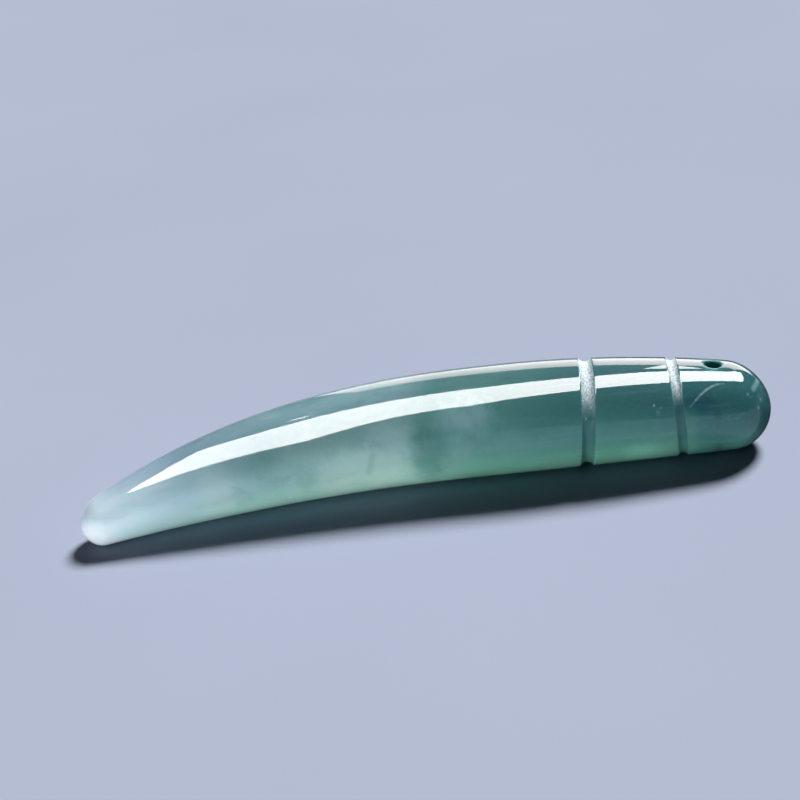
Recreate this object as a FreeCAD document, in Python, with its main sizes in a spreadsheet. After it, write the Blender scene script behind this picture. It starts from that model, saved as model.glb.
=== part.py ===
import FreeCAD, Part
import Sketcher
import os

# Carved stone hairpin pendant: one solid piece, a horn with a bent tip, a domed head,
# two ring grooves and one cross-drilled cord hole.
#
# Frame: millimetres, +Z up, the piece lying on its side as it rests on a table.
# X runs along the straight head end (+X is the head), Y across, and the bend is in plan,
# so the tip swings towards -Y.  The origin is the bottom centre of the overall box.

V = FreeCAD.Vector

# name, value, what it is (mm unless stated otherwise)
DRIVING_VALUES = [
    ("spine_length", 55.0, "length along the middle line, tip end to head end"),
    ("straight_length", 23.2, "straight run measured from the head end"),
    ("bend_radius", 80.0, "plan radius of the bent run that ends in the tip"),
    ("belly_diameter", 8.7, "thickest place"),
    ("belly_from_head", 21.0, "distance of the thickest place from the head end"),
    ("head_diameter", 6.4, "diameter the shank runs out to at the head end"),
    ("tip_diameter", 3.3, "diameter the shank runs out to at the tip end"),
    ("head_taper_power", 2.0, "exponent of the taper from belly to head"),
    ("tip_taper_power", 2.5, "exponent of the taper from belly to tip"),
    ("crown_flat", 0.08, "radius that the domed ends fall short of a full half-round"),
    ("wide_groove_from_head", 14.4, "centre of the wide ring groove from the head end"),
    ("wide_groove_width", 0.9, "width of the wide ring groove at the surface"),
    ("wide_groove_depth", 0.3, "depth of the wide ring groove"),
    ("wide_groove_lean", 5.0, "degrees the ring leans towards the head at the top"),
    ("slim_groove_from_head", 7.3, "centre of the slim ring groove from the head end"),
    ("slim_groove_width", 0.65, "width of the slim ring groove at the surface"),
    ("slim_groove_depth", 0.22, "depth of the slim ring groove"),
    ("slim_groove_lean", -2.0, "degrees the ring leans towards the head at the top"),
    ("hole_from_head", 4.3, "axis of the cord hole from the head end"),
    ("hole_diameter", 1.3, "bore of the cord hole"),
    ("countersink", 0.2, "radial growth of the bore at both mouths, cut at 45 degrees"),
    ("cutter_overrun", 1.0, "how far the countersinking cutter stands proud of the stone"),
]
STATIONS = 12    # sections lofted along the spine, evenly spaced


def fill_sheet(doc):
    sheet = doc.addObject("Spreadsheet::Sheet", "driving_values")
    sheet.Label = "driving_values"
    for row, (name, value, meaning) in enumerate(DRIVING_VALUES, start=1):
        sheet.set("A%d" % row, name)
        sheet.set("B%d" % row, str(value))
        sheet.set("C%d" % row, meaning)
        sheet.setAlias("B%d" % row, name)
    doc.recompute()
    return sheet


# ---- formulas of the form, as expression text; d is a distance from the head end ----

def radius_at(d):
    head_side = ("(v.belly_diameter - (v.belly_diameter - v.head_diameter)"
                 " * pow(abs(v.belly_from_head - ({d})) / v.belly_from_head;"
                 " v.head_taper_power)) / 2")
    tip_side = ("(v.belly_diameter - (v.belly_diameter - v.tip_diameter)"
                " * pow(abs(({d}) - v.belly_from_head)"
                " / (v.spine_length - v.belly_from_head); v.tip_taper_power)) / 2")
    text = "({d}) < v.belly_from_head ? " + head_side + " : " + tip_side
    return expand(text, d)


def turn_at(d):
    """Degrees the spine has turned at d: none along the straight run."""
    return expand("(({d}) > v.straight_length ? (({d}) - v.straight_length)"
                  " / v.bend_radius * 180 / pi : 0)", d)


def along_at(d):
    """X of the spine point."""
    return expand("-(({d}) > v.straight_length ? v.straight_length"
                  " + v.bend_radius * sin(" + turn_at(d) + ") : ({d}))", d)


def aside_at(d):
    """Y of the spine point."""
    return expand("-v.bend_radius * (1 - cos(" + turn_at(d) + "))", d)


def expand(text, d):
    return text.replace("{d}", d).replace("v.", "driving_values.")


# ---- sketches ----

def origin_plane(body, role):
    return next(f for f in body.Origin.OriginFeatures if f.Role == role)


def sketch_on(body, plane_role, name):
    sketch = body.newObject("Sketcher::SketchObject", name)
    sketch.AttachmentSupport = [(origin_plane(body, plane_role), "")]
    sketch.MapMode = "FlatFace"
    return sketch


def add_named(sketch, name, *definition):
    index = sketch.addConstraint(Sketcher.Constraint(*definition))
    sketch.renameConstraint(index, name)


def station_sketch(body, number):
    """Upright round section standing on the base plane, turned square to the spine."""
    d = "v.spine_length * %d / %d" % (number, STATIONS - 1)
    sketch = sketch_on(body, "YZ_Plane", "station_%02d" % number)
    circle = sketch.addGeometry(Part.Circle(V(0, 3, 0), V(0, 0, 1), 3))
    sketch.addConstraint(Sketcher.Constraint("PointOnObject", circle, 3, -2))
    add_named(sketch, "radius", "Radius", circle, 3)
    add_named(sketch, "height", "DistanceY", -1, 1, circle, 3, 3)
    sketch.setExpression("Constraints.radius", radius_at(d))
    sketch.setExpression("Constraints.height", radius_at(d))
    sketch.setExpression(".AttachmentOffset.Base.x", aside_at(d))
    sketch.setExpression(".AttachmentOffset.Base.z", along_at(d))
    sketch.AttachmentOffset = FreeCAD.Placement(V(0, 0, 0), FreeCAD.Rotation(V(0, 1, 0), 1))
    sketch.setExpression(".AttachmentOffset.Rotation.Angle", turn_at(d))
    return sketch


def groove_sketch(body, groove):
    """Round wheel profile above the shank axis; the sketch's own X is the ring's axis."""
    d = "v.%s_from_head" % groove
    wheel = expand("(pow(v.G_width / 2; 2) + pow(v.G_depth; 2)) / (2 * v.G_depth)"
                   .replace("G_", groove + "_"), d)
    sketch = sketch_on(body, "XZ_Plane", groove + "_profile")
    circle = sketch.addGeometry(Part.Circle(V(0, 4, 0), V(0, 0, 1), 0.5))
    sketch.addConstraint(Sketcher.Constraint("PointOnObject", circle, 3, -2))
    add_named(sketch, "wheel", "Radius", circle, 0.5)
    add_named(sketch, "reach", "DistanceY", -1, 1, circle, 3, 4)
    sketch.setExpression("Constraints.wheel", wheel)
    sketch.setExpression("Constraints.reach",
                         expand("(%s) - v.%s_depth + (%s)" % (radius_at(d), groove, wheel), d))
    sketch.setExpression(".AttachmentOffset.Base.x", along_at(d))
    sketch.setExpression(".AttachmentOffset.Base.y", radius_at(d))
    sketch.AttachmentOffset = FreeCAD.Placement(V(0, 0, 0), FreeCAD.Rotation(V(0, 0, 1), 1))
    sketch.setExpression(".AttachmentOffset.Rotation.Angle", expand("-v.%s_lean" % groove, d))
    return sketch


def hole_sketch(body):
    sketch = sketch_on(body, "XY_Plane", "hole_profile")
    circle = sketch.addGeometry(Part.Circle(V(-4, 0, 0), V(0, 0, 1), 0.8))
    sketch.addConstraint(Sketcher.Constraint("PointOnObject", circle, 3, -1))
    add_named(sketch, "diameter", "Diameter", circle, 1.6)
    add_named(sketch, "place", "DistanceX", circle, 3, -1, 1, 4)
    sketch.setExpression("Constraints.diameter", "driving_values.hole_diameter")
    sketch.setExpression("Constraints.place", "driving_values.hole_from_head")
    return sketch


def countersink_sketch(body, mouth):
    """Half of a 45 degree cutter on the hole's axis, its mouth radius met at the surface."""
    d = "v.hole_from_head"
    outwards = 1 if mouth == "upper" else -1
    mouth_radius = "(v.hole_diameter / 2 + v.countersink)"
    sketch = sketch_on(body, "XZ_Plane", mouth + "_countersink_profile")
    point, rear, rim = V(0, outwards * 2, 0), V(0, outwards * 4, 0), V(2, outwards * 4, 0)
    axis = sketch.addGeometry(Part.LineSegment(point, rear))
    back = sketch.addGeometry(Part.LineSegment(rear, rim))
    slope = sketch.addGeometry(Part.LineSegment(rim, point))
    for one, other in ((axis, back), (back, slope), (slope, axis)):
        sketch.addConstraint(Sketcher.Constraint("Coincident", one, 2, other, 1))
    sketch.addConstraint(Sketcher.Constraint("PointOnObject", axis, 1, -2))
    sketch.addConstraint(Sketcher.Constraint("Vertical", axis))
    sketch.addConstraint(Sketcher.Constraint("Horizontal", back))
    sketch.addConstraint(Sketcher.Constraint("Equal", axis, back))
    add_named(sketch, "leg", "Distance", axis, 2)
    sketch.setExpression("Constraints.leg", expand(mouth_radius + " + v.cutter_overrun", d))
    ends = (-1, 1, axis, 2) if mouth == "upper" else (axis, 2, -1, 1)
    add_named(sketch, "rear", "DistanceY", *ends, 4)
    height = "2 * (%s)" % radius_at(d) if mouth == "upper" else "0"
    sketch.setExpression("Constraints.rear", expand(height + " + v.cutter_overrun", d))
    sketch.setExpression(".AttachmentOffset.Base.x", along_at(d))
    return sketch


# ---- features ----

def edges_where(shape, wanted):
    return ["Edge%d" % i for i, edge in enumerate(shape.Edges, start=1) if wanted(edge)]


def round_edges(doc, body, name, base, edges, radius):
    feature = body.newObject("PartDesign::Fillet", name)
    feature.Base = (base, edges)
    feature.setExpression("Radius", radius)
    body.Tip = feature
    doc.recompute()
    return feature


def build_pin(doc):
    body = doc.addObject("PartDesign::Body", "carved_pin")
    body.Label = "carved_pin"

    stations = [station_sketch(body, number) for number in range(STATIONS)]
    doc.recompute()
    shank = body.newObject("PartDesign::AdditiveLoft", "shank")
    shank.Profile = stations[0]
    shank.Sections = stations[1:]
    shank.Ruled = False
    body.Tip = shank
    doc.recompute()

    previous = shank
    for end, station in (("head", stations[0]), ("tip", stations[-1])):
        middle = station.Shape.Edges[0].Curve.Center
        rim = edges_where(previous.Shape, lambda e: e.Closed
                          and (e.BoundBox.Center - middle).Length < 0.05)
        radius = expand("v.%s_diameter / 2 - v.crown_flat" % end, "")
        previous = round_edges(doc, body, end + "_dome", previous, rim, radius)

    for groove in ("wide_groove", "slim_groove"):
        profile = groove_sketch(body, groove)
        doc.recompute()
        cut = body.newObject("PartDesign::Groove", groove)
        cut.Profile = profile
        cut.ReferenceAxis = (profile, ["H_Axis"])
        cut.Angle = 360
        body.Tip = cut
        doc.recompute()

    profile = hole_sketch(body)
    doc.recompute()
    hole = body.newObject("PartDesign::Pocket", "cord_hole")
    hole.Profile = profile
    hole.Type = "ThroughAll"
    hole.Midplane = True
    body.Tip = hole
    doc.recompute()

    for mouth in ("upper", "lower"):
        profile = countersink_sketch(body, mouth)
        doc.recompute()
        cut = body.newObject("PartDesign::Groove", mouth + "_countersink")
        cut.Profile = profile
        cut.ReferenceAxis = (profile, ["V_Axis"])
        cut.Angle = 360
        body.Tip = cut
        doc.recompute()
    return body


def seat(doc, body):
    """Put the bottom centre of the overall box at the origin."""
    box = body.Shape.optimalBoundingBox(False, False)
    body.Placement = FreeCAD.Placement(V(-box.Center.x, -box.Center.y, -box.ZMin),
                                       FreeCAD.Rotation())
    doc.recompute()


def check(doc):
    for thing in doc.Objects:
        bad = [state for state in thing.State if state in ("Invalid", "Error")]
        assert not bad, "%s is %s" % (thing.Label, bad)
    for feature in doc.findObjects("PartDesign::Feature"):
        assert not feature.Shape.isNull() and feature.Shape.isValid(), feature.Label
    volumes = [doc.getObject(name).Shape.Volume for name in
               ("shank", "head_dome", "tip_dome", "wide_groove", "slim_groove",
                "cord_hole", "upper_countersink", "lower_countersink")]
    for before, after in zip(volumes, volumes[1:]):
        assert after < before - 0.01, "a cut removed nothing: %s" % volumes
    return volumes


doc = FreeCAD.newDocument("hairpin_pendant")
fill_sheet(doc)
pin = build_pin(doc)
seat(doc, pin)
volumes = check(doc)

os.makedirs("parts", exist_ok=True)
pin.Shape.exportStep("parts/carved_pin.step")

box = pin.Shape.optimalBoundingBox(False, False)
print("carved_pin  %.2f x %.2f x %.2f mm, %.1f mm3" %
      (box.XLength, box.YLength, box.ZLength, pin.Shape.Volume))
print("head end of the spine at x %.3f, y %.3f" % (pin.Placement.Base.x, pin.Placement.Base.y))
print("volumes", ["%.2f" % v for v in volumes], "solids", len(pin.Shape.Solids))
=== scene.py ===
import bpy
import math
from mathutils import Matrix, Vector


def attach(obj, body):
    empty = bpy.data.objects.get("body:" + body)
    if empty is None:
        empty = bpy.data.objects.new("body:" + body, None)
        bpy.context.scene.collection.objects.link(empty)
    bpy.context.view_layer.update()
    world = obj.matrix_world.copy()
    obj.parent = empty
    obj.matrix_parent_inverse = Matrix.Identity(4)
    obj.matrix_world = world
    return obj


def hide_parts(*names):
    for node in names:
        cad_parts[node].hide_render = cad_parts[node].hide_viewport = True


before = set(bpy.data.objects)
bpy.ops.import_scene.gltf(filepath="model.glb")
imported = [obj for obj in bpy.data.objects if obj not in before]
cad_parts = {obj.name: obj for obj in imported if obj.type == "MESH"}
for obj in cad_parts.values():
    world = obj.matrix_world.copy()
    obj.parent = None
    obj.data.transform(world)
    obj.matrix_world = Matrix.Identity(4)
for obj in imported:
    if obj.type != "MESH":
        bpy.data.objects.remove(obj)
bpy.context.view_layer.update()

MM = 0.001

# ---- the form: the same driving values as the CAD part, in millimetres ----

SPINE_LENGTH = 55.0
STRAIGHT_LENGTH = 23.2
BEND_RADIUS = 80.0
BELLY_DIAMETER = 8.7
BELLY_FROM_HEAD = 21.0
HEAD_DIAMETER = 6.4
TIP_DIAMETER = 3.3
HEAD_TAPER_POWER = 2.0
TIP_TAPER_POWER = 2.5
CROWN_FLAT = 0.08
HEAD_END = (27.215, 1.591)          # the spine's head end in the part's frame
# distance from the head end, width, depth, lean in degrees
GROOVES = [(14.4, 0.9, 0.3, 5.0), (7.3, 0.65, 0.22, -2.0)]
HOLE_FROM_HEAD = 4.3
HOLE_RADIUS = 0.65
RIM_ROUND = 0.2

HEAD_DOME = HEAD_DIAMETER / 2 - CROWN_FLAT
TIP_DOME = TIP_DIAMETER / 2 - CROWN_FLAT

AROUND = 160                         # points in one section
HOLE_HALF_CELLS = 10                 # the hole's patch reaches this many points each way
PATCH_REACH = 1.35                   # and this far along the stone each way
PATCH_CELLS = 18                     # in this many steps
HEAD_STEPS, TIP_STEPS = 26, 22       # sections over the rounded ends
RIM_STEPS, WALL_STEPS = 6, 24        # rings over the hole's rim and down its wall
GROOVE_LIP = 0.012                   # how softly a groove meets the skin

POLISHED, GROUND, BORE = range(3)    # the piece's material slots


def shank_radius(d):
    if d < BELLY_FROM_HEAD:
        span, end, power = BELLY_FROM_HEAD, HEAD_DIAMETER, HEAD_TAPER_POWER
    else:
        span, end, power = SPINE_LENGTH - BELLY_FROM_HEAD, TIP_DIAMETER, TIP_TAPER_POWER
    share = abs(d - BELLY_FROM_HEAD) / span
    return (BELLY_DIAMETER - (BELLY_DIAMETER - end) * share ** power) / 2


def dome(distance_to_end, reach):
    """1 along the shank, falling to 0 over the rounded end."""
    left = max(0.0, 1 - distance_to_end / reach)
    return math.sqrt(max(0.0, 1 - left * left))


def spine(d):
    """Plan position and heading of the middle line; the section's radius and centre height."""
    turn = max(0.0, d - STRAIGHT_LENGTH) / BEND_RADIUS
    x = -min(d, STRAIGHT_LENGTH) - BEND_RADIUS * math.sin(turn)
    y = -BEND_RADIUS * (1 - math.cos(turn))
    height = shank_radius(d)
    radius = height * dome(d, HEAD_DOME) * dome(SPINE_LENGTH - d, TIP_DOME)
    return x + HEAD_END[0], y + HEAD_END[1], turn, radius, height


def groove_depth(x, z):
    """How deep the ring grooves cut at a point of the straight run."""
    cut = 0.0
    for from_head, width, depth, lean in GROOVES:
        lean = math.radians(lean)
        off = ((x - HEAD_END[0] + from_head) * math.cos(lean)
               - (z - shank_radius(from_head)) * math.sin(lean))
        wheel = (width * width / 4 + depth * depth) / (2 * depth)
        bare = depth - off * off / (2 * wheel)
        cut += (bare + math.hypot(bare, GROOVE_LIP)) / 2 if bare > -3 * depth else 0.0
    return cut


def skin(d, angle):
    x, y, turn, radius, height = spine(d)
    across, up = math.cos(angle), math.sin(angle)

    def point(r):
        return Vector((x - math.sin(turn) * r * across, y + math.cos(turn) * r * across,
                       height + r * up))
    full = point(radius)
    if d > STRAIGHT_LENGTH:
        return full
    return point(radius - min(groove_depth(full.x, full.z), radius * 0.5))


def on_face(from_head, lift):
    """A point of the skin, lift degrees up from the level of its front side."""
    return skin(from_head, math.pi - math.radians(lift))


def stations():
    """Distances from the head end: close over the domes, the hole and the grooves."""
    head = [HEAD_DOME * (1 - math.cos(math.pi / 2 * k / HEAD_STEPS)) for k in range(1, HEAD_STEPS)]
    tip = [SPINE_LENGTH - TIP_DOME * (1 - math.cos(math.pi / 2 * k / TIP_STEPS))
           for k in range(TIP_STEPS - 1, 0, -1)]
    hole = (HOLE_FROM_HEAD - PATCH_REACH, HOLE_FROM_HEAD + PATCH_REACH)
    spots = [d for d in head if d < hole[0] - 0.02]
    spots += [hole[0] + (hole[1] - hole[0]) * k / PATCH_CELLS for k in range(PATCH_CELLS + 1)]
    d = hole[1]
    while d < tip[0] - 0.3:
        near = min(abs(d - groove[0]) for groove in GROOVES)
        d += 0.05 if near < 1.1 else 0.28
        spots.append(d)
    return spots + tip


# ---- the mesh ----

def build_skin():
    spots = stations()
    angles = [2 * math.pi * k / AROUND for k in range(AROUND)]
    points = [skin(d, a) for d in spots for a in angles]
    faces, kinds = [], []

    first = next(i for i, d in enumerate(spots) if d > HOLE_FROM_HEAD - PATCH_REACH - 1e-6)
    last = first + PATCH_CELLS
    top, bottom = AROUND // 4, 3 * AROUND // 4

    def number(i, j):
        return i * AROUND + j % AROUND

    def in_patch(i, j):
        return first <= i < last and (abs(j + 0.5 - top) < HOLE_HALF_CELLS
                                      or abs(j + 0.5 - bottom) < HOLE_HALF_CELLS)

    for i in range(len(spots) - 1):
        for j in range(AROUND):
            if not in_patch(i, j):
                faces.append((number(i, j), number(i + 1, j), number(i + 1, j + 1), number(i, j + 1)))
                mid = (points[number(i, j)] + points[number(i + 1, j + 1)]) / 2
                kinds.append(GROUND if groove_floor(mid.x, mid.z) else POLISHED)

    # crowns
    for i, d in ((0, 0.0), (len(spots) - 1, SPINE_LENGTH)):
        x, y, _, _, height = spine(d)
        points.append(Vector((x, y, height)))
        for j in range(AROUND):
            faces.append((len(points) - 1, number(i, j), number(i, j + 1)))
            kinds.append(POLISHED)

    # border loops of the two patches, in step with each other
    half, loops = HOLE_HALF_CELLS, []
    for centre, sense in ((top, 1), (bottom, -1)):
        loop = [number(i, centre - sense * half) for i in range(first, last)]
        loop += [number(last, centre + sense * k) for k in range(-half, half)]
        loop += [number(i, centre + sense * half) for i in range(last, first, -1)]
        loop += [number(first, centre - sense * k) for k in range(-half, half)]
        loops.append(loop)
    upper = drill_mouth(points, faces, kinds, loops[0], 1)
    lower = drill_mouth(points, faces, kinds, loops[1], -1)
    drill_wall(points, faces, kinds, upper, lower)
    return points, faces, kinds


def groove_floor(x, z):
    """Whether a point lies in the ground part of a groove, inside its soft lips."""
    return any(groove_depth(x, z) > 0.15 * depth and abs(x - HEAD_END[0] + from_head) < width
               for from_head, width, depth, _ in GROOVES)


def face_height(x, y, side):
    """Height of the stone above (side 1) or below (side -1) a plan point of the head."""
    _, _, _, radius, height = spine(HEAD_END[0] - x)
    return height + side * math.sqrt(radius * radius - (y - HEAD_END[1]) ** 2)


def add_ring(points, faces, kinds, before, ring, kind):
    start = len(points)
    points.extend(ring)
    after = list(range(start, start + len(ring)))
    for k in range(len(ring)):
        n = (k + 1) % len(ring)
        faces.append((before[k], before[n], after[n], after[k]))
        kinds.append(kind)
    return after


def drill_mouth(points, faces, kinds, loop, side):
    """Rings from the patch's border to the rim, then over the rounded rim into the bore."""
    axis = Vector((HEAD_END[0] - HOLE_FROM_HEAD, HEAD_END[1]))
    border = [points[k].xy for k in loop]
    rays = [(p - axis).normalized() for p in border]
    rim = HOLE_RADIUS + RIM_ROUND
    ring = loop
    for k in range(1, RIM_STEPS + 1):
        plan = [p.lerp(axis + ray * rim, k / RIM_STEPS) for p, ray in zip(border, rays)]
        ring = add_ring(points, faces, kinds, ring,
                        [Vector((p.x, p.y, face_height(p.x, p.y, side))) for p in plan], POLISHED)
    for k in range(1, RIM_STEPS + 1):
        a = math.pi / 2 * k / RIM_STEPS
        plan = [axis + ray * (rim - RIM_ROUND * math.sin(a)) for ray in rays]
        drop = side * RIM_ROUND * (1 - math.cos(a))
        ring = add_ring(points, faces, kinds, ring,
                        [Vector((p.x, p.y, face_height(p.x, p.y, side) - drop)) for p in plan], BORE)
    return ring


def drill_wall(points, faces, kinds, upper, lower):
    ring = upper
    for k in range(1, WALL_STEPS):
        ring = add_ring(points, faces, kinds, ring,
                        [points[a].lerp(points[b], k / WALL_STEPS)
                         for a, b in zip(upper, lower)], BORE)
    for k in range(len(ring)):
        n = (k + 1) % len(ring)
        faces.append((ring[k], ring[n], lower[n], lower[k]))
        kinds.append(BORE)


def link(name, data):
    """A new object for the data, in the scene."""
    thing = bpy.data.objects.new(name, data)
    bpy.context.scene.collection.objects.link(thing)
    return thing


def make_piece(name):
    points, faces, kinds = build_skin()
    mesh = bpy.data.meshes.new(name)
    mesh.from_pydata([p * MM for p in points], [], faces)
    for polygon, kind in zip(mesh.polygons, kinds):
        polygon.material_index = kind
        polygon.use_smooth = True
    piece = link(name, mesh)
    bpy.context.view_layer.objects.active = piece
    piece.select_set(True)
    bpy.ops.object.mode_set(mode="EDIT")
    bpy.ops.mesh.select_all(action="SELECT")
    bpy.ops.mesh.normals_make_consistent(inside=False)
    bpy.ops.object.mode_set(mode="OBJECT")
    piece.select_set(False)
    return piece


# ---- node helpers ----

def srgb(red, green, blue):
    def linear(value):
        value /= 255
        return value / 12.92 if value <= 0.04045 else ((value + 0.055) / 1.055) ** 2.4
    return (linear(red), linear(green), linear(blue), 1.0)


class Nodes:
    """Short names for building one material's node tree."""

    def __init__(self, name):
        self.material = bpy.data.materials.new(name)
        self.material.use_nodes = True
        self.tree = self.material.node_tree
        self.tree.nodes.clear()
        self.output = self.tree.nodes.new("ShaderNodeOutputMaterial")

    def add(self, kind, settings=None, **inputs):
        node = self.tree.nodes.new(kind)
        for key, value in (settings or {}).items():
            setattr(node, key, value)
        for key, value in inputs.items():
            self.put(node.inputs[key.replace("_", " ")], value)
        return node

    def put(self, socket, value):
        if isinstance(value, bpy.types.NodeSocket):
            self.tree.links.new(value, socket)
        else:
            socket.default_value = value

    def math(self, operation, *values, clamp=False):
        node = self.add("ShaderNodeMath", {"operation": operation, "use_clamp": clamp})
        for socket, value in zip(node.inputs, values):
            self.put(socket, value)
        return node.outputs[0]

    def mix(self, share, one, other):
        node = self.add("ShaderNodeMix", {"data_type": "RGBA"})
        self.put(node.inputs[0], share)
        self.put(node.inputs[6], one)
        self.put(node.inputs[7], other)
        return node.outputs[2]

    def times(self, *values):
        return self.math("MULTIPLY", *values)

    def layer(self, colour, share, strength, tone):
        """Lays a tone over the colour, at full strength where share is 1."""
        return self.mix(self.times(share, strength), colour, srgb(*tone))

    def tint(self, colour):
        """The colour of light that has passed through the stone: greener and deeper."""
        node = self.add("ShaderNodeMix", {"data_type": "RGBA", "blend_type": "MULTIPLY"})
        node.inputs[0].default_value = 1.0
        self.put(node.inputs[6], colour)
        node.inputs[7].default_value = (0.86, 0.80, 0.77, 1.0)
        return node.outputs[2]

    def ramp(self, value, low, high, smooth=True):
        """0 below low, 1 above high."""
        node = self.add("ShaderNodeMapRange",
                        {"interpolation_type": "SMOOTHSTEP" if smooth else "LINEAR"})
        for key, number in (("Value", value), ("From Min", low), ("From Max", high)):
            self.put(node.inputs[key], number)
        return node.outputs["Result"]

    def place(self):
        """Object coordinates in millimetres."""
        coordinates = self.add("ShaderNodeTexCoord").outputs["Object"]
        node = self.add("ShaderNodeVectorMath", {"operation": "SCALE"})
        self.put(node.inputs[0], coordinates)
        node.inputs["Scale"].default_value = 1 / MM
        return node.outputs[0]

    def stretched(self, place, offset=(0, 0, 0), scale=(1, 1, 1), turn=(0, 0, 0)):
        node = self.add("ShaderNodeMapping", Vector=place)
        node.inputs["Location"].default_value = offset
        node.inputs["Scale"].default_value = scale
        node.inputs["Rotation"].default_value = [math.radians(angle) for angle in turn]
        return node.outputs[0]

    def noise(self, place, scale, detail=3.0, roughness=0.5, distortion=0.0):
        node = self.add("ShaderNodeTexNoise", Vector=place, Scale=scale, Detail=detail,
                        Roughness=roughness, Distortion=distortion)
        return node.outputs["Fac"]

    def spot(self, place, centre, size, soft=0.5, wobble=None, turn=(0, 0, 0)):
        """1 inside an ellipsoid about centre, fading to 0 at its edge."""
        shift = self.add("ShaderNodeVectorMath", {"operation": "SUBTRACT"})
        self.put(shift.inputs[0], place)
        shift.inputs[1].default_value = centre
        turned = self.stretched(shift.outputs[0], turn=turn)
        shrunk = self.add("ShaderNodeVectorMath", {"operation": "DIVIDE"})
        self.put(shrunk.inputs[0], turned)
        shrunk.inputs[1].default_value = size
        length = self.add("ShaderNodeVectorMath", {"operation": "LENGTH"})
        self.put(length.inputs[0], shrunk.outputs[0])
        distance = length.outputs["Value"]
        if wobble is not None:
            distance = self.math("ADD", distance, self.math("SUBTRACT", wobble, 0.5))
        return self.ramp(distance, 1.0, 1.0 - soft)

    def line(self, place, start, end, width, soft=0.6):
        """1 along a straight line between two points, fading to 0 at its width."""
        run = Vector(end) - Vector(start)
        shift = self.add("ShaderNodeVectorMath", {"operation": "SUBTRACT"})
        self.put(shift.inputs[0], place)
        shift.inputs[1].default_value = start
        dot = self.add("ShaderNodeVectorMath", {"operation": "DOT_PRODUCT"})
        self.put(dot.inputs[0], shift.outputs[0])
        dot.inputs[1].default_value = run / run.length_squared
        share = self.math("MULTIPLY", dot.outputs["Value"], 1.0, clamp=True)
        foot = self.add("ShaderNodeVectorMath", {"operation": "SCALE"})
        foot.inputs[0].default_value = run
        self.put(foot.inputs["Scale"], share)
        gap = self.add("ShaderNodeVectorMath", {"operation": "DISTANCE"})
        self.put(gap.inputs[0], shift.outputs[0])
        self.put(gap.inputs[1], foot.outputs[0])
        return self.ramp(gap.outputs["Value"], width, width * (1 - soft))


# ---- materials ----

def colour_along(n, x, place):
    """Milky blue at the tip, sea green in the middle and deep teal at the head."""
    drift = n.noise(n.stretched(place, scale=(0.35, 0.5, 0.5)), 0.55, 3.0, 0.55, 0.4)
    bent_x = n.math("ADD", x, n.times(n.math("SUBTRACT", drift, 0.5), 4.0))
    reach = 28
    steps = [(-28, (238, 245, 250)), (-23, (222, 243, 252)), (-18, (198, 228, 234)),
             (-12, (164, 204, 202)), (-6, (168, 208, 204)), (-2, (166, 204, 200)),
             (1.5, (112, 170, 162)), (14, (84, 146, 142)), (22, (68, 128, 128)),
             (28, (52, 106, 110))]
    ramp = n.add("ShaderNodeValToRGB")
    ramp.color_ramp.interpolation = "EASE"
    elements = ramp.color_ramp.elements
    while len(elements) < len(steps):
        elements.new(0.5)
    for element, (spot, tone) in zip(elements, steps):
        element.position = (spot + reach) / (2 * reach)
        element.color = srgb(*tone)
    n.put(ramp.inputs[0], n.ramp(bent_x, -reach, reach, smooth=False))
    return ramp.outputs[0]


def add_clouds(n, colour, x, place):
    """Pale and dark clouds, the pale ones towards the tip only."""
    cloud = n.noise(n.stretched(place, offset=(3, 1, 0), scale=(0.8, 1, 1.2)), 0.42, 4.0, 0.6, 0.3)
    pale = n.times(n.ramp(cloud, 0.5, 0.72), n.ramp(x, 9.0, -3.0))
    dark = n.times(n.ramp(cloud, 0.48, 0.3), n.ramp(x, -21.0, -15.0))
    colour = n.layer(colour, pale, 0.35, (204, 228, 218))
    return n.layer(colour, dark, 0.3, (84, 144, 144))


def add_painted_light_and_shade(n, colour, x, z, place):
    """Painted light and shade by height: a painted glow, greener and lighter, low down, and painted
    shade, darker and bluer, along the upper part and the top; a painted shade at the head's end, a
    painted glow under the tip, and the stone's own paler tone at the very tip.
    """
    thin = n.math("POWER", n.ramp(x, 6.2, -27.8, smooth=False), 2.4)
    level = n.math("DIVIDE", z, n.math("MULTIPLY_ADD", thin, -5.4, 8.7))
    low, high, top = n.ramp(level, 0.6, 0.05), n.ramp(level, 0.5, 0.92), n.ramp(level, 0.78, 1.0)
    head_fade = n.math("MULTIPLY_ADD", n.ramp(x, 21.5, 19.0), 0.66, 0.34)
    middle = n.times(n.ramp(x, 2.0, -3.0), n.ramp(x, -21.0, -12.0))
    for share, strength, tone in (
            # painted glow: lighter and greener low down, where light comes out of the stone
            (n.times(low, n.ramp(x, 6.0, -1.0)), 0.66, (198, 242, 228)),
            (n.times(n.times(low, n.ramp(x, -1.0, 6.0)), head_fade), 0.5, (154, 206, 180)),
            # painted shade: darker and bluer along the upper part and along the top
            (high, 0.24, (56, 90, 108)),
            (n.times(high, middle), 0.32, (56, 90, 108)),
            (n.times(high, n.ramp(x, 8.0, 14.0)), 0.24, (56, 90, 108)),
            (n.times(top, n.ramp(x, -4.0, 2.0)), 0.34, (76, 90, 104)),
            (n.times(top, n.ramp(x, 4.0, -3.0)), 0.12, (150, 172, 215)),
            (n.times(top, n.ramp(x, -11.0, -19.0)), 0.5, (66, 100, 128)),
            (n.ramp(x, -23.5, -27.0), 0.4, (214, 230, 240)),
            # painted shade: darker at the head's end
            (n.ramp(x, 24.8, 27.3), 0.7, (24, 70, 76))):
        colour = n.layer(colour, share, strength, tone)
    # painted glow: near white under the tip, low down
    painted_tip_glow = n.times(n.spot(place, (-26.0, -5.8, 0.4), (3.4, 3.4, 2.8), 0.6),
                   n.ramp(level, 1.1, 0.3))
    return n.layer(colour, painted_tip_glow, 0.75, (240, 250, 255))


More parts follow.
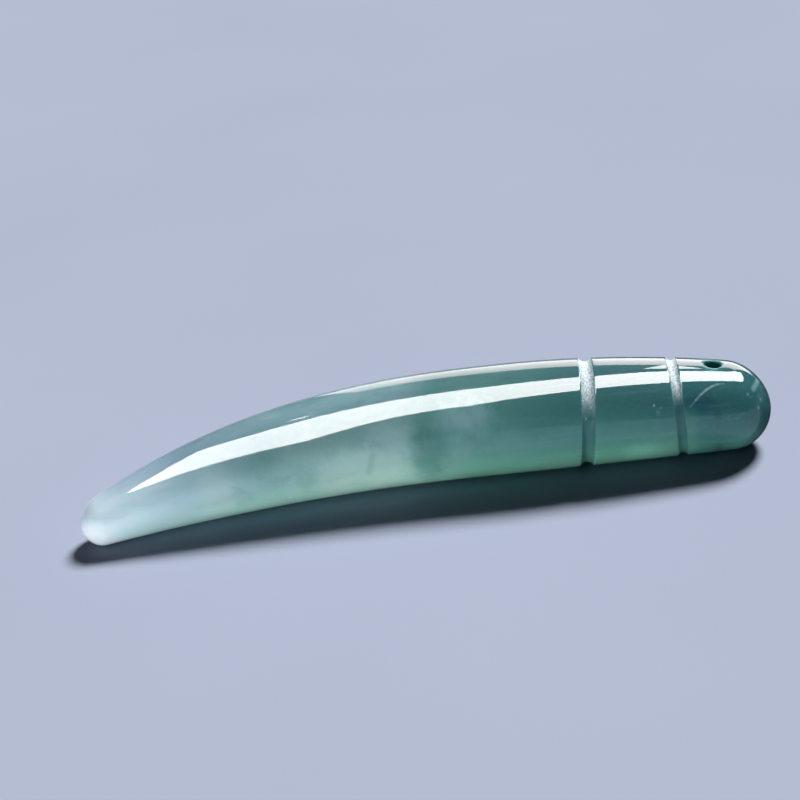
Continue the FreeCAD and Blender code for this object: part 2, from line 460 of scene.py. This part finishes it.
def add_blots(n, colour, place, wobble):
    """The mottled zone and the dark cloud right of it: centre, size, softness, strength, tone."""
    for centre, size, soft, strength, tone in (
            ((-16, -4, 3.5), (2, 5, 2.5), 0.7, 0.35, (214, 234, 230)),
            ((-12.5, -3.5, 5), (3, 5, 3), 0.9, 0.14, (92, 156, 148)),
            ((-9, -3, 3.5), (1.5, 5, 2), 0.9, 0.3, (104, 162, 150)),
            ((-5, -3, 3), (4.5, 5.5, 3), 0.5, 0.5, (204, 230, 220)),
            ((-2.5, -3, 6), (2.5, 5, 1.5), 0.8, 0.6, (176, 208, 210)),
            ((0.5, -3, 4), (2, 6, 4), 0.75, 0.5, (70, 136, 124)),
            ((0, -2.5, 5.5), (1, 3, 0.7), 0.8, 0.2, (60, 116, 112)),
            ((3, -3, 4), (1.5, 5, 2), 0.8, 0.3, (146, 192, 182)),
            ((3.5, -2, 6.5), (3.5, 3.5, 2), 1.0, 0.9, (158, 196, 200)),
            ((17, -2, 2), (2.5, 3, 1.5), 1.0, 0.5, (150, 210, 188)),
            ((8.5, -2.5, 5), (1.5, 4, 1), 0.8, 0.2, (60, 120, 116))):
        colour = n.layer(colour, n.spot(place, centre, size, soft, wobble), strength, tone)
    return colour


def healed_crack(runs=6):
    """Short feathers along a crack that rises and then levels out, faint at both ends."""
    points = [(6.5 - 2.75 * k / runs, 25 + 28 * math.sin(math.pi / 2 * k / runs))
              for k in range(runs + 1)]
    return [(points[k], points[k + 1], 0.14, 0.1 + 0.5 * math.sin(math.pi * (k + 0.5) / runs),
             (180, 212, 218)) for k in range(runs)]


def add_inclusions_and_painted_light(n, colour, place, wobble):
    """Painted shade in blue near the head under a healed crack, where the bore shows through the
    stone; then feathers, bands and flecks, among them a painted highlight and a painted dark band.
    """
    # painted shade: a dark blue patch where the bore shows through the stone
    shade = n.spot(place, (21.5, -2, 5.5), (2.3, 1.8, 1), 0.8, wobble, turn=(0, -12, 0))
    colour = n.layer(colour, shade, 0.55, (40, 88, 112))

    # each end is a distance from the head end and a lift in degrees; then width, strength, tone
    feathers = [*healed_crack(),
                # painted highlight: a pale streak near the head's end, for a glint
                ((1.0, 75), (1.5, 50), 0.34, 0.42, (160, 196, 202)),
                ((31.5, 5), (32.0, -15), 0.45, 0.25, (104, 158, 146)),
                # painted shade: a dark band down the front under the hole, where the bore shows
                # through the stone
                ((4.5, 15), (4.5, -45), 0.5, 0.4, (40, 96, 98)),
                ((6.5, 10), (6.5, -35), 0.9, 0.3, (104, 160, 138)),
                ((14.0, 15), (14.0, -30), 0.16, 0.35, (140, 188, 172))]
    for start, end, width, strength, tone in feathers:
        feather = n.line(place, on_face(*start), on_face(*end), width, 0.9)
        colour = n.layer(colour, feather, strength, tone)

    # distance from the head end, lift in degrees, size, strength
    for from_head, lift, size, strength in (
            (1, 35, 0.2, 0.2), (1.25, 20, 0.2, 0.3), (2, 40, 0.15, 0.4), (7.25, 40, 0.15, 0.4),
            (8.75, 25, 0.15, 0.3), (9.25, 28, 0.17, 0.7), (9, 20, 0.3, 0.16),
            (14, 30, 0.15, 0.5), (14.25, 40, 0.18, 0.6), (14.5, 18, 0.18, 0.7)):
        fleck = n.spot(place, on_face(from_head, lift), (size * 0.8, size, size * 1.3), 1.0)
        colour = n.layer(colour, fleck, strength, (196, 222, 224))
    return colour


def stone_colour(n, place):
    along = n.add("ShaderNodeSeparateXYZ", Vector=place).outputs
    x, z = along["X"], along["Z"]
    colour = colour_along(n, x, place)
    colour = add_clouds(n, colour, x, place)
    colour = add_painted_light_and_shade(n, colour, x, z, place)
    wobble = n.noise(n.stretched(place, scale=(1, 1, 0.6)), 0.9, 4.0, 0.65)
    colour = add_blots(n, colour, place, wobble)
    return add_inclusions_and_painted_light(n, colour, place, wobble)


def polished_stone():
    n = Nodes("jade_polished")
    place = n.place()
    colour = stone_colour(n, place)

    # fine grain and long faint streaks
    x = n.add("ShaderNodeSeparateXYZ", Vector=place).outputs["X"]
    grain = n.noise(place, 3.2, 5.0, 0.7)
    streak = n.noise(n.stretched(place, scale=(0.1, 1.6, 1.6)), 1.3, 3.0, 0.5)
    colour = n.layer(colour, n.ramp(grain, 0.45, 0.8), 0.05, (190, 214, 204))
    colour = n.layer(colour, n.ramp(streak, 0.55, 0.75), 0.12, (150, 190, 180))

    shader = n.add("ShaderNodeBsdfPrincipled", {"subsurface_method": "RANDOM_WALK"})
    n.put(shader.inputs["Base Color"], colour)
    shader.inputs["IOR"].default_value = 1.66
    shader.inputs["Roughness"].default_value = 0.02
    shader.inputs["Subsurface Weight"].default_value = 1.0
    shader.inputs["Subsurface Radius"].default_value = (0.7, 1.0, 0.95)
    n.put(shader.inputs["Subsurface Scale"],
          n.math("MULTIPLY_ADD", n.ramp(x, -27.0, -12.0), 3.0 * MM, 0.5 * MM))
    ripple = n.add("ShaderNodeBump", Strength=0.04, Distance=0.02 * MM)
    n.put(ripple.inputs["Height"], n.noise(place, 0.8, 2.0, 0.5))
    n.put(shader.inputs["Normal"], ripple.outputs[0])
    through = n.add("ShaderNodeBsdfRefraction", Color=n.tint(colour), Roughness=0.45, IOR=1.5)
    both = n.add("ShaderNodeMixShader")
    share = n.times(n.ramp(x, -27.0, -17.0), 0.38)
    n.put(both.inputs[0], n.math("MULTIPLY_ADD", n.ramp(x, 24.5, 27.0), -0.26, share))
    n.put(both.inputs[1], shader.outputs[0])
    n.put(both.inputs[2], through.outputs[0])
    n.put(n.output.inputs["Surface"], both.outputs[0])
    return n.material


def ground_stone(name, pale, roughness, bump, specular):
    """The same stone where a wheel or a drill has left it unpolished, smoother low down, with painted
    shade making it darker low down.
    """
    n = Nodes(name)
    place = n.place()
    colour = stone_colour(n, place)
    scratch = n.noise(n.stretched(place, scale=(1.3, 1.0, 1.0)), 6.5, 6.0, 0.75)
    height = n.add("ShaderNodeSeparateXYZ", Vector=place).outputs["Z"]
    frost = n.times(n.ramp(scratch, 0.32, 0.62), n.ramp(height, 5.2, 7.3))
    # painted shade: darker low down in the groove floors and the bore
    colour = n.layer(colour, n.ramp(height, 6.4, 4.0), 0.34, (34, 98, 106))
    through = n.add("ShaderNodeBsdfRefraction", Color=n.tint(colour), Roughness=0.5, IOR=1.5)
    colour = n.layer(colour, frost, pale, (226, 234, 240))
    shader = n.add("ShaderNodeBsdfPrincipled", {"subsurface_method": "RANDOM_WALK"})
    n.put(shader.inputs["Base Color"], colour)
    shader.inputs["IOR"].default_value = 1.66
    shader.inputs["Specular IOR Level"].default_value = specular
    coarse = n.ramp(height, 4.6, 6.8)
    n.put(shader.inputs["Roughness"], n.math("MULTIPLY_ADD", coarse, roughness, 0.1))
    shader.inputs["Subsurface Weight"].default_value = 0.9
    shader.inputs["Subsurface Radius"].default_value = (0.6, 1.0, 0.9)
    shader.inputs["Subsurface Scale"].default_value = 1.2 * MM
    rough = n.add("ShaderNodeBump", Strength=bump, Distance=0.06 * MM)
    n.put(rough.inputs["Height"], n.times(n.noise(place, 7.0, 5.0, 0.7), coarse))
    n.put(shader.inputs["Normal"], rough.outputs[0])
    both = n.add("ShaderNodeMixShader")
    n.put(both.inputs[0], n.math("MULTIPLY_ADD", frost, -0.4, 0.4))
    n.put(both.inputs[1], shader.outputs[0])
    n.put(both.inputs[2], through.outputs[0])
    n.put(n.output.inputs["Surface"], both.outputs[0])
    return n.material


def floor_material():
    n = Nodes("studio_floor")
    place = n.place()
    tone = n.noise(place, 0.02, 2.0, 0.5)
    colour = n.mix(tone, srgb(135, 142, 160), srgb(141, 148, 166))
    shader = n.add("ShaderNodeBsdfPrincipled")
    n.put(shader.inputs["Base Color"], colour)
    shader.inputs["Roughness"].default_value = 0.6
    shader.inputs["Specular IOR Level"].default_value = 0.0
    n.put(n.output.inputs["Surface"], shader.outputs[0])
    return n.material


def glow_material(name, colour, strength, rise=0.0):
    """A panel's glow; rise is added towards the right, in full from 120 mm on."""
    n = Nodes(name)
    glow = n.add("ShaderNodeEmission")
    glow.inputs["Color"].default_value = colour
    if rise:
        x = n.add("ShaderNodeSeparateXYZ", Vector=n.place()).outputs["X"]
        n.put(glow.inputs["Strength"],
              n.math("MULTIPLY_ADD", n.ramp(x, -150.0, 120.0, smooth=False), rise, strength))
    else:
        glow.inputs["Strength"].default_value = strength
    n.put(n.output.inputs["Surface"], glow.outputs[0])
    return n.material


def dark_material():
    n = Nodes("flag_cloth")
    cloth = n.add("ShaderNodeBsdfDiffuse")
    cloth.inputs["Color"].default_value = (0.02, 0.02, 0.02, 1.0)
    n.put(n.output.inputs["Surface"], cloth.outputs[0])
    return n.material


# ---- studio: its own frame has X to the right and Y away from the camera ----

PANEL_HEIGHT = 400                   # of the softbox and the lamps, in millimetres
FLOOR_REACH, BACKDROP_REACH = 3000, 2000
AIM = Vector((-2.7, 16.4, 0.0))
VIEW_TURN = math.radians(4.6)
VIEW_DISTANCE, VIEW_HEIGHT, VIEW_ROLL = 164.6, math.radians(25), math.radians(-8)
STUDIO = Matrix.Translation(AIM * MM) @ Matrix.Rotation(VIEW_TURN, 4, "Z")


def studio(x, y, z):
    return STUDIO @ Vector((x * MM, y * MM, z * MM))


def add_camera():
    data = bpy.data.cameras.new("camera")
    data.lens, data.sensor_width = 85, 36
    data.clip_start, data.clip_end = 0.005, 20
    camera = link("camera", data)
    place = studio(0, -VIEW_DISTANCE * math.cos(VIEW_HEIGHT), VIEW_DISTANCE * math.sin(VIEW_HEIGHT))
    look = (studio(0, 0, 0) - place).to_track_quat("-Z", "Y").to_matrix().to_4x4()
    camera.matrix_world = Matrix.Translation(place) @ look @ Matrix.Rotation(VIEW_ROLL, 4, "Z")
    bpy.context.scene.camera = camera


def smooth_run(points, steps=4):
    """A smooth curve that passes through the points and stops short of the last one."""
    points = [Vector(point) for point in points]
    points = [points[0] * 2 - points[1], *points, points[-1] * 2 - points[-2]]
    curve = []
    for a, b, c, d in zip(points, points[1:], points[2:], points[3:]):
        for share in (k / steps for k in range(steps)):
            curve.append(b + (c - a) * (share / 2) + (a * 2 - b * 5 + c * 4 - d) * (share ** 2 / 2)
                         + (b * 3 - a - c * 3 + d) * (share ** 3 / 2))
    return curve


def add_staging(name, corners, faces, material):
    """A studio piece that isn't part of the object; corners in the studio frame."""
    mesh = bpy.data.meshes.new(name)
    mesh.from_pydata([studio(*corner) for corner in corners], [], faces)
    mesh.materials.append(material)
    piece = link(name, mesh)
    return piece


def add_card(name, corners, material):
    """A flat panel with this outline."""
    return add_staging(name, corners, [range(len(corners))], material)


def seen_by(thing, *rays):
    """Hides a studio piece from every kind of ray but these."""
    for ray in ("camera", "diffuse", "glossy", "transmission", "shadow"):
        setattr(thing, "visible_" + ray, ray in rays)


def aim_light(light, place, target):
    """Points a light that isn't seen itself, neither directly nor as a reflection."""
    start, end = studio(*place), studio(*target)
    light.matrix_world = (Matrix.Translation(start)
                          @ (end - start).to_track_quat("-Z", "Y").to_matrix().to_4x4())
    light.visible_glossy = False
    light.visible_camera = False


def add_light(name, place, target, size, power, colour):
    data = bpy.data.lights.new(name, "AREA")
    data.shape = "RECTANGLE"
    data.size, data.size_y = size[0] * MM, size[1] * MM
    data.energy, data.color = power, colour
    light = link(name, data)
    aim_light(light, place, target)
    return light


def build_floor():
    far = FLOOR_REACH
    add_staging("studio_floor",
                [(-far, -far, -0.01), (far, -far, -0.01), (far, far, -0.01), (-far, far, -0.01)],
                [range(4)], floor_material())


def build_panels():
    """The glowing panels that the polished skin reflects."""
    left, front, right, rear = (-190, 0), (-70, -400), (520, 430), (-170, 160)
    softbox = smooth_run([left, (-190, -80), (-120, -250), front])
    softbox += smooth_run([front, (-30, -230), (50, -150), (130, -70), (200, -20), (450, 60),
                           (540, 230), right])
    softbox += smooth_run([right, (170, 190), (80, 90), (-80, 30), rear]) + [Vector(rear)]
    overhead = add_card("overhead_softbox", [(x, y, PANEL_HEIGHT) for x, y in softbox],
                        glow_material("softbox_glow", (1.0, 0.97, 0.98, 1.0), 17.0, 4.0))
    seen_by(overhead, "glossy")

    lamps = {"small_softbox": [(140, 250), (180, 270), (200, 300), (200, 370), (190, 450)],
             "spark_lamp": [(-92, 92), (-84, 82), (-76, 88), (-80, 108), (-88, 112)]}
    for name, outline in lamps.items():
        lamp = add_card(name, [(x, y, PANEL_HEIGHT) for x, y in outline],
                        glow_material(name + "_glow", (1.0, 0.99, 0.99, 1.0), 13.0))
        seen_by(lamp, "glossy")

    behind = add_card("rear_panel", [(-80, 700, 40), (600, 700, 40), (600, 700, 700),
                                     (60, 700, 560), (-80, 700, 490)],
                      glow_material("rear_glow", (1.0, 0.88, 0.87, 1.0), 3.4, 3.3))
    seen_by(behind, "glossy", "transmission")


def build_lights(pin):
    """A soft key light for everything, and two low fills for the stone alone."""
    data = bpy.data.lights.new("key", "SUN")
    data.energy, data.color, data.angle = 7.2, (1.0, 0.99, 0.98), math.radians(17)
    aim_light(link("key", data), (480, 560, 920), (0, -18, 0))
    takes_fill = bpy.data.collections.new("takes_fill")
    takes_fill.objects.link(pin)
    fill_colour = (0.95, 0.96, 1.0)
    for light in (
            add_light("fill", (-150, -480, 45), (0, -18, 4), (700, 86), 1.9, fill_colour),
            add_light("tip_fill", (-90, -125, 28), (-22, -18, 2), (80, 40), 0.035, fill_colour)):
        light.light_linking.receiver_collection = takes_fill


def build_backdrop():
    """A ring in the floor's tone behind everything, which only the camera sees."""
    wall = [(BACKDROP_REACH * math.cos(math.radians(a)), BACKDROP_REACH * math.sin(math.radians(a)))
            for a in range(0, 360, 10)]
    count = len(wall)
    ring = add_staging("backdrop", [(x, y, z) for z in (-20, BACKDROP_REACH) for x, y in wall],
                       [(k, (k + 1) % count, count + (k + 1) % count, count + k)
                        for k in range(count)],
                       glow_material("backdrop_glow", (0.70, 0.77, 1.0, 1.0), 0.65))
    seen_by(ring, "camera")


def build_flag():
    """A dark card on the floor that keeps the head's right rim dark."""
    flag = add_card("head_flag", [(24, -20, 0.05), (130, -20, 0.05), (130, 90, 0.05),
                                  (24, 90, 0.05)], dark_material())
    seen_by(flag, "glossy")


def build_air():
    world = bpy.data.worlds.new("studio_air")
    world.use_nodes = True
    background = world.node_tree.nodes["Background"]
    background.inputs["Color"].default_value = (0.66, 0.67, 0.66, 1)
    background.inputs["Strength"].default_value = 0.04
    bpy.context.scene.world = world


pin = make_piece("carved_stone_pendant")
for material in (polished_stone(), ground_stone("jade_groove", 0.62, 0.42, 0.6, 0.5),
                 ground_stone("jade_bore", 0.0, 0.42, 0.4, 0.1)):
    pin.data.materials.append(material)
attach(pin, "root")
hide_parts("carved_pin")

build_floor()
build_panels()
build_lights(pin)
build_backdrop()
build_flag()
build_air()
add_camera()
bpy.context.scene.view_settings.view_transform = "Standard"
